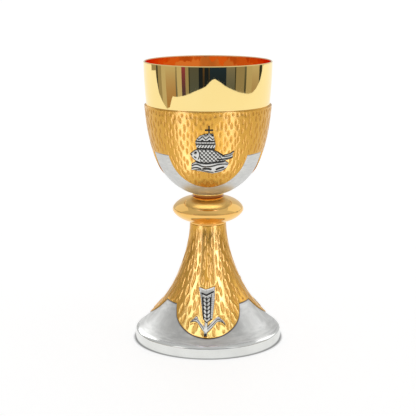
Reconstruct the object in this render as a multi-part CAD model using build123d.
from build123d import *
from math import cos, radians, sin
import os

# Communion chalice: a gilt cup held in a silver calyx, a hollow knop and a trumpet foot, drawn
# together by one threaded tie rod. Hammered gilt sheaths with three round lobes lie over the calyx
# and the foot, and every lobe carries a cast silver emblem.
# Millimetres, +Z up, origin on the table at the centre of the foot, first lobe towards -Y.

# ---- Driving dimensions ------------------------------------------------------------------------
TOTAL_HEIGHT = 200.0
RIM_R = 45.0                # outside of the cup at its rim
FOOT_R = 52.5               # outside of the foot's upright band
LOBES = 3                   # lobes of each sheath, and emblems on it
LOBE_STEP = 360.0 / LOBES

# Sheet thicknesses
CUP_WALL = 1.2
CALYX_WALL = 0.7
KNOP_WALL = 1.0
FOOT_WALL = 1.0
SHEATH_WALL = 0.7
SHIP_THICKNESS = 1.2
WHEAT_THICKNESS = 0.7       # lower, because it lies inside a raised border of the sheath

# Heights of the joints between the pieces, from the bottom up
BAND_TOP = 6.5              # top of the foot's upright band
STEM_TOP = 85.0             # top of the trumpet foot
KNOP_BOTTOM = 86.2
KNOP_EQUATOR = 95.0
KNOP_TOP = 104.3
CALYX_BOTTOM = 107.0
CALYX_TOP = 169.75

# Sheath outlines: the straight edge between the lobes, and each lobe's shape below it
CALYX_EDGE = 138.0
CALYX_LOBE_HALF_WIDTH = 27.0
CALYX_LOBE_BOTTOM = 115.2
FOOT_EDGE = 30.8
FOOT_LOBE_HALF_WIDTH = 22.2
FOOT_LOBE_SIDE = 5.3        # upright side of a foot lobe, above its half ellipse
FOOT_LOBE_BOTTOM = 13.1

# Bowl and foot: radius and height of the few points their curves pass through
SEAT_R = 10.5               # flat seat in the middle of the cup's and the calyx's bottom
BOWL_POINTS = [(18.4, 110.5), (29.6, 120.3), (36.9, 135.0), (41.5, 154.0), (43.6, 173.0)]
TRUMPET_POINTS = [(38.4, 20.0), (30.2, 30.3), (20.0, 50.0), (14.0, 70.0)]
SHOULDER_R = 2.0            # rounded shoulder between the foot's band and its flare
FLARE_ANGLE = 32.7          # how steeply the flare leaves the shoulder, above level
TRUMPET_TOP_R = 12.3

# Knop
KNOP_R = 25.35
KNOP_POINTS = [(23.95, 98.0), (18.45, 102.0)]
KNOP_TOP_R = 11.4
KNOP_BOTTOM_R = 13.1

# Collars
UPPER_NECK_R = 10.8
UPPER_BEAD_R = 11.4
UPPER_BEAD_HEIGHT = 1.3
LOWER_COLLAR_R = 13.2

# Tie rod and its hardware: an M6 stud with plain cylinders where it is threaded
ROD_R = 3.0
THREAD_GAP = 0.02           # radial, between the stud and a tapped hole
ROD_BORE_R = 3.25           # clearance holes for the stud
ROD_BOTTOM = 70.5
ROD_END_GAP = 0.2
BOSS_R = 8.0
BOSS_LENGTH = 7.0
BOSS_ROOF = 0.5             # metal left above the boss's blind hole
SLIP = 0.15                 # radial gap where one turned piece enters another
SLEEVE_R = 6.0
STEM_CAP_THICKNESS = 3.0
BRAZE_GAP = 0.05            # radial, round the stem cap
FLAT_WASHER = (9.0, 3.2, 1.2)       # outer radius, hole radius, thickness
SPRING_WASHER = (6.1, 3.1, 1.6)
SPRING_WASHER_SLIT = 0.8
NUT_ACROSS_FLATS = 10.0
NUT_HEIGHT = 5.0
END_CHAMFER = 0.5

# Weight ring soldered inside the foot's band
RING_WIDTH = 5.0
RING_HEIGHT = 4.0

OFFSET_SAMPLES = 24         # stations at which a profile is moved sideways
PRISM_REACH = 70.0          # emblem and lobe outlines are pushed out this far from the axis

os.makedirs("parts", exist_ok=True)


# ---- Profiles ----------------------------------------------------------------------------------
def rz(radius, height):
    """A profile point in the XZ plane."""
    return Vector(radius, 0, height)


def profile_curve(points, start_direction, end_direction):
    """A smooth profile through a few points, leaving and arriving in the given directions."""
    return Spline(
        *[rz(*point) for point in points],
        tangents=[rz(*start_direction), rz(*end_direction)],
        tangent_scalars=[1, 1],
    )


def beside(curve, distance):
    """The rising curve moved sideways, away from the axis where the distance is positive."""
    points = []
    for station in range(OFFSET_SAMPLES + 1):
        place = station / OFFSET_SAMPLES
        along = curve % place
        points.append(curve @ place + Vector(along.Z, 0, -along.X) * distance)
    return Spline(*points)


def place_at_height(curve, height):
    """How far along a rising curve, from 0 to 1, it reaches a height."""
    low, high = 0.0, 1.0
    for _ in range(40):
        middle = (low + high) / 2
        if (curve @ middle).Z < height:
            low = middle
        else:
            high = middle
    return (low + high) / 2


def turned(*edges):
    """The solid of revolution of a closed profile."""
    return revolve(make_face(list(edges)), Axis.Z)


def turned_polygon(*points):
    """The solid of revolution of a profile with straight sides."""
    return turned(Polyline(*[rz(*point) for point in points], close=True))


def turned_layer(inner, outer):
    """The sheet between two profile curves."""
    return turned(inner, Line(inner @ 1, outer @ 1), outer, Line(outer @ 0, inner @ 0))


def ring(outer_r, inner_r, bottom, top):
    """A plain ring with square corners."""
    return turned_polygon((inner_r, bottom), (outer_r, bottom), (outer_r, top), (inner_r, top))


# The cup's outside, from its flat seat to just under the rounded rim
SEAT_HEIGHT = CALYX_BOTTOM + CALYX_WALL
RIM_ROUND = CUP_WALL / 2
CUP_CURVE = profile_curve(
    [(SEAT_R, SEAT_HEIGHT), *BOWL_POINTS, (RIM_R, TOTAL_HEIGHT - RIM_ROUND)], (1, 0), (0, 1)
)

# The calyx's layers, each face to face with the next
CALYX_INNER = CUP_CURVE.trim(0, place_at_height(CUP_CURVE, CALYX_TOP))
CALYX_OUTER = beside(CALYX_INNER, CALYX_WALL)
CALYX_SHEATH_OUTER = beside(CALYX_INNER, CALYX_WALL + SHEATH_WALL)
CALYX_EMBLEM_OUTER = beside(CALYX_INNER, CALYX_WALL + SHEATH_WALL + SHIP_THICKNESS)

# The trumpet foot's outside, from the rounded shoulder to the stem's top
def shoulder(radius):
    """The rounded shoulder at one depth of the foot's sheet, from the band to the flare."""
    centre = rz(FOOT_R - SHOULDER_R, BAND_TOP)
    turn = 90 - FLARE_ANGLE
    angles = (0, turn / 2, turn)
    return ThreePointArc(*[centre + rz(cos(radians(a)), sin(radians(a))) * radius for a in angles])


SHOULDER_OUTER = shoulder(SHOULDER_R)
SHOULDER_INNER = shoulder(SHOULDER_R - FOOT_WALL)
SHOULDER_END = SHOULDER_OUTER @ 1
TRUMPET_CURVE = profile_curve(
    [(SHOULDER_END.X, SHOULDER_END.Z), *TRUMPET_POINTS, (TRUMPET_TOP_R, STEM_TOP)],
    (-cos(radians(FLARE_ANGLE)), sin(radians(FLARE_ANGLE))),
    (0, 1),
)
TRUMPET_INNER = beside(TRUMPET_CURVE, -FOOT_WALL)
FOOT_SHEATH_OUTER = beside(TRUMPET_CURVE, SHEATH_WALL)
FOOT_EMBLEM_OUTER = beside(TRUMPET_CURVE, SHEATH_WALL + WHEAT_THICKNESS)


# ---- Outlines seen from the front: x to the right, y is the height ------------------------------
def pushed_out(outline):
    """The prism of a front outline, from the chalice's axis out towards -Y."""
    return extrude(Plane.XZ * outline, amount=PRISM_REACH)


def calyx_lobe():
    """A deep rounded tongue below the calyx sheath's straight edge."""
    half, edge, bottom = CALYX_LOBE_HALF_WIDTH, CALYX_EDGE, CALYX_LOBE_BOTTOM
    depth = edge - bottom
    side = [(half, edge), (0.8 * half, edge - 0.5 * depth), (0.38 * half, edge - 0.9 * depth)]
    right = Spline(*side, (0, bottom), tangents=[(0, -1), (-1, 0)])
    left = Spline((0, bottom), *[(-x, y) for x, y in reversed(side)], tangents=[(-1, 0), (0, 1)])
    return make_face([right, left, Line((-half, edge), (half, edge))])


def foot_lobe():
    """A tongue with short upright sides and a half ellipse for its end."""
    half, edge = FOOT_LOBE_HALF_WIDTH, FOOT_EDGE
    side_end = edge - FOOT_LOBE_SIDE
    end = EllipticalCenterArc((0, side_end), half, side_end - FOOT_LOBE_BOTTOM, 180, arc_size=180)
    sides = Polyline((half, side_end), (half, edge), (-half, edge), (-half, side_end))
    return make_face([end, sides])


def band_with_lobes(lobe, edge, top):
    """The space a sheath fills: all round above its straight edge, and one lobe at a time below."""
    space = ring(PRISM_REACH, 0.0, edge, top + 1.0)
    prism = pushed_out(lobe)
    for index in range(LOBES):
        space += Rot(0, 0, index * LOBE_STEP) * prism
    return space


def bar(start, end, width):
    """A straight strip between two points, with square ends."""
    run = Vector(*end) - Vector(*start)
    side = Vector(-run.Y, run.X).normalized() * (width / 2)
    a, b = Vector(*start), Vector(*end)
    return make_face(Polyline(a + side, b + side, b - side, a - side, close=True))


def ship_outline():
    """A fish-shaped hull under two tiers of sail and a small cross, on a band of waves."""
    back = Spline((-12.0, 141.0), (-8.0, 144.1), (-1.0, 145.0), (5.0, 143.3), (10.5, 139.9))
    tail = Polyline((10.5, 139.9), (14.3, 140.7), (17.8, 142.7), (16.2, 140.1), (16.7, 137.7), (10.5, 135.6))
    belly = Spline((10.5, 135.6), (5.0, 135.2), (-2.5, 134.6), (-8.5, 136.1), (-12.0, 141.0))
    hull = make_face([back, tail, belly])
    sail = make_face([
        Spline((-8.5, 150.0), (-6.2, 153.0), (-1.4, 155.0), (3.6, 155.0)),
        Polyline((3.6, 155.0), (4.7, 150.0), (5.2, 147.8), (4.2, 142.6), (-7.0, 142.6), (-8.5, 150.0)),
    ])
    mast = bar((0.7, 154.0), (0.7, 160.4), 1.0)
    spar = bar((-2.1, 157.5), (3.5, 157.5), 1.0)
    waves = make_face([
        Polyline((-11.2, 129.2), (-11.1, 133.6), (-6.0, 137.0), (9.5, 137.2), (14.0, 134.2)),
        Spline((14.0, 134.2), (12.4, 130.7), (8.0, 127.9), (2.9, 126.9)),
        Spline((2.9, 126.9), (-3.5, 128.2), (-11.2, 129.2)),
    ])
    return hull + sail + mast + spar + waves


def wheat_outline():
    """One notched ear of wheat on a stalk with two drooping leaves."""
    ear = make_face(Polyline(
        (-6.4, 43.0), (-1.5, 41.6), (4.8, 43.4), (4.6, 35.0), (3.1, 23.6), (-0.9, 21.6), (-3.4, 23.6),
        (-4.9, 35.0), close=True
    ))
    stalk = bar((-1.1, 23.0), (-1.9, 13.9), 2.1)
    left_leaf = make_face([
        Spline((-1.8, 15.2), (-4.6, 18.2), (-7.8, 21.7), (-12.9, 20.9)),
        Spline((-12.9, 20.9), (-10.1, 23.4), (-7.8, 25.2)),
        Spline((-7.8, 25.2), (-5.6, 22.0), (-1.4, 18.6)),
        Line((-1.4, 18.6), (-1.8, 15.2)),
    ])
    right_leaf = make_face([
        Spline((-1.6, 15.2), (2.5, 18.4), (6.8, 21.9), (12.3, 19.6)),
        Spline((12.3, 19.6), (9.6, 23.2), (6.8, 25.1)),
        Spline((6.8, 25.1), (3.2, 22.4), (-1.2, 18.8)),
        Line((-1.2, 18.8), (-1.6, 15.2)),
    ])
    return ear + stalk + left_leaf + right_leaf


# ---- Bowl group --------------------------------------------------------------------------------
def cup():
    """The plain gilt bowl with a flat seat under it and a rounded rim."""
    inner = beside(CUP_CURVE, -CUP_WALL)
    rim = ThreePointArc(CUP_CURVE @ 1, rz(RIM_R - RIM_ROUND, TOTAL_HEIGHT), inner @ 1)
    floor = Line(inner @ 0, rz(0, (inner @ 0).Z))
    axis = Line(rz(0, (inner @ 0).Z), rz(0, SEAT_HEIGHT))
    seat = Line(rz(0, SEAT_HEIGHT), CUP_CURVE @ 0)
    return turned(seat, CUP_CURVE, rim, inner, floor, axis)


def cup_boss():
    """A tapped boss brazed under the cup, which centres the calyx, the collar and the knop."""
    bottom = SEAT_HEIGHT - BOSS_LENGTH
    boss = ring(BOSS_R, 0.0, bottom, SEAT_HEIGHT)
    return boss - ring(ROD_R + THREAD_GAP, 0.0, bottom, SEAT_HEIGHT - BOSS_ROOF)


def calyx_shell():
    """The silver bowl that holds the cup, with a hole for the boss in its flat seat."""
    hole_r = BOSS_R + SLIP
    return turned(
        CALYX_INNER,
        Line(CALYX_INNER @ 1, CALYX_OUTER @ 1),
        CALYX_OUTER,
        Polyline(CALYX_OUTER @ 0, rz(hole_r, CALYX_BOTTOM), rz(hole_r, SEAT_HEIGHT), CALYX_INNER @ 0),
    )


def calyx_sheath():
    """The gilt sheet over the calyx, cut to three lobes."""
    sheet = turned_layer(CALYX_OUTER, CALYX_SHEATH_OUTER)
    return sheet & band_with_lobes(calyx_lobe(), CALYX_EDGE, CALYX_TOP)


def ship_emblem():
    """The cast emblem of a calyx lobe, curved to lie on the sheath."""
    return turned_layer(CALYX_SHEATH_OUTER, CALYX_EMBLEM_OUTER) & pushed_out(ship_outline())


# ---- Knop group --------------------------------------------------------------------------------
def upper_collar():
    """A turned collar between knop and calyx: a plain neck with a bead at its top."""
    bead_bottom = CALYX_BOTTOM - UPPER_BEAD_HEIGHT
    bore = BOSS_R + SLIP
    bead = ThreePointArc(
        rz(UPPER_NECK_R, bead_bottom),
        rz(UPPER_BEAD_R, bead_bottom + UPPER_BEAD_HEIGHT / 2),
        rz(UPPER_NECK_R, CALYX_BOTTOM),
    )
    body = Polyline(
        bead @ 1, rz(bore, CALYX_BOTTOM), rz(bore, KNOP_TOP), rz(UPPER_NECK_R, KNOP_TOP), bead @ 0
    )
    return turned(bead, body)


def knop_half(end_r, end_height, hole_r):
    """A spun half of the knop above its equator, closed by a flat land with a hole."""
    outer = profile_curve([(KNOP_R, KNOP_EQUATOR), *KNOP_POINTS, (end_r, end_height)], (0, 1), (-1, 0.3))
    inner = beside(outer, -KNOP_WALL)
    land = Polyline(outer @ 1, rz(hole_r, end_height), rz(hole_r, (inner @ 1).Z), inner @ 1)
    return turned(outer, land, inner, Line(inner @ 0, outer @ 0))


def knop_upper():
    return knop_half(KNOP_TOP_R, KNOP_TOP, BOSS_R + SLIP)


def knop_lower():
    """The lower half, made upright and mirrored below the equator."""
    upright = knop_half(KNOP_BOTTOM_R, 2 * KNOP_EQUATOR - KNOP_BOTTOM, SLEEVE_R + SLIP)
    return mirror(upright, about=Plane.XY.offset(KNOP_EQUATOR))


def knop_sleeve():
    """A spacer tube in the knop, which takes the tie rod's pull from the boss to the collar."""
    return ring(SLEEVE_R, ROD_BORE_R, KNOP_BOTTOM, SEAT_HEIGHT - BOSS_LENGTH)


def lower_collar():
    """The thin ring between the stem and the knop."""
    collar = ring(LOWER_COLLAR_R, ROD_BORE_R, STEM_TOP, KNOP_BOTTOM)
    outer_edges = collar.edges().filter_by(GeomType.CIRCLE).sort_by(SortBy.RADIUS)[-2:]
    return fillet(outer_edges, 0.4)


# ---- Foot group --------------------------------------------------------------------------------
def foot_shell():
    """The silver foot: an upright band, a rounded shoulder and the trumpet that makes the stem."""
    edges = [
        Line(rz(FOOT_R, 0), SHOULDER_OUTER @ 0),
        SHOULDER_OUTER,
        TRUMPET_CURVE,
        Line(TRUMPET_CURVE @ 1, TRUMPET_INNER @ 1),
        TRUMPET_INNER,
        SHOULDER_INNER,
        Polyline(SHOULDER_INNER @ 0, rz(FOOT_R - FOOT_WALL, 0), rz(FOOT_R, 0)),
    ]
    return turned(*edges)


def foot_sheath():
    """The gilt sheet over the stem and foot, cut to three lobes."""
    sheet = turned_layer(TRUMPET_CURVE, FOOT_SHEATH_OUTER)
    return sheet & band_with_lobes(foot_lobe(), FOOT_EDGE, STEM_TOP)


def wheat_emblem():
    """The cast emblem of a foot lobe, curved to lie on the sheath."""
    return turned_layer(FOOT_SHEATH_OUTER, FOOT_EMBLEM_OUTER) & pushed_out(wheat_outline())


def foot_ring():
    """A flat weight ring inside the band, level with the foot's lower edge."""
    outer_r = FOOT_R - FOOT_WALL
    return ring(outer_r, outer_r - RING_WIDTH, 0.0, RING_HEIGHT)


# ---- Tie rod and its hardware ------------------------------------------------------------------
WASHER_TOP = STEM_TOP - STEM_CAP_THICKNESS
SPRING_TOP = WASHER_TOP - FLAT_WASHER[2]
NUT_TOP = SPRING_TOP - SPRING_WASHER[2]


def stem_cap():
    """A thick disc brazed in the stem's top, which the nut pulls against."""
    outer_r = TRUMPET_TOP_R - FOOT_WALL - BRAZE_GAP
    return ring(outer_r, ROD_BORE_R, STEM_TOP - STEM_CAP_THICKNESS, STEM_TOP)


def tie_rod():
    """The stud from the cup's boss down to the nut, with chamfered ends."""
    top = SEAT_HEIGHT - BOSS_ROOF - ROD_END_GAP
    rod = ring(ROD_R, 0.0, ROD_BOTTOM, top)
    return chamfer(rod.edges().filter_by(GeomType.CIRCLE), END_CHAMFER)


def flat_washer():
    outer_r, hole_r, thickness = FLAT_WASHER
    return ring(outer_r, hole_r, WASHER_TOP - thickness, WASHER_TOP)


def spring_washer():
    """A split spring washer, pressed flat as it is when the nut is tight."""
    outer_r, hole_r, thickness = SPRING_WASHER
    washer = ring(outer_r, hole_r, SPRING_TOP - thickness, SPRING_TOP)
    slit = Box(outer_r + 1, SPRING_WASHER_SLIT, 2 * thickness, align=(Align.MIN, Align.CENTER, Align.CENTER))
    return washer - Pos(0, 0, SPRING_TOP - thickness / 2) * Rot(0, 0, 30) * slit


def tie_nut():
    """A hexagon nut, turned off a little at its corners."""
    hexagon = RegularPolygon(NUT_ACROSS_FLATS / 2, 6, major_radius=False)
    nut = extrude(Pos(0, 0, NUT_TOP - NUT_HEIGHT) * hexagon, amount=NUT_HEIGHT)
    corner_r = NUT_ACROSS_FLATS / 2 / 0.866
    middle = NUT_TOP - NUT_HEIGHT / 2
    turned_blank = turned_polygon(
        (0, NUT_TOP), (corner_r - 0.6, NUT_TOP), (corner_r, NUT_TOP - 0.35), (corner_r, middle),
        (corner_r, NUT_TOP - NUT_HEIGHT + 0.35), (corner_r - 0.6, NUT_TOP - NUT_HEIGHT),
        (0, NUT_TOP - NUT_HEIGHT),
    )
    return (nut & turned_blank) - ring(ROD_R + THREAD_GAP, 0.0, NUT_TOP - NUT_HEIGHT, NUT_TOP)


# ---- Writing the pieces ------------------------------------------------------------------------
PIECES = {
    "cup": cup(),
    "cup_boss": cup_boss(),
    "calyx_shell": calyx_shell(),
    "calyx_sheath": calyx_sheath(),
    "upper_collar": upper_collar(),
    "knop_upper": knop_upper(),
    "knop_lower": knop_lower(),
    "knop_sleeve": knop_sleeve(),
    "lower_collar": lower_collar(),
    "foot_shell": foot_shell(),
    "foot_sheath": foot_sheath(),
    "foot_ring": foot_ring(),
    "stem_cap": stem_cap(),
    "tie_rod": tie_rod(),
    "flat_washer": flat_washer(),
    "spring_washer": spring_washer(),
    "tie_nut": tie_nut(),
}

ship = ship_emblem()
wheat = wheat_emblem()
for index in range(LOBES):
    turn = Rot(0, 0, index * LOBE_STEP)
    PIECES[f"ship_emblem_{index + 1}"] = turn * ship
    PIECES[f"wheat_emblem_{index + 1}"] = turn * wheat

for name, shape in PIECES.items():
    export_step(shape, f"parts/{name}.step")
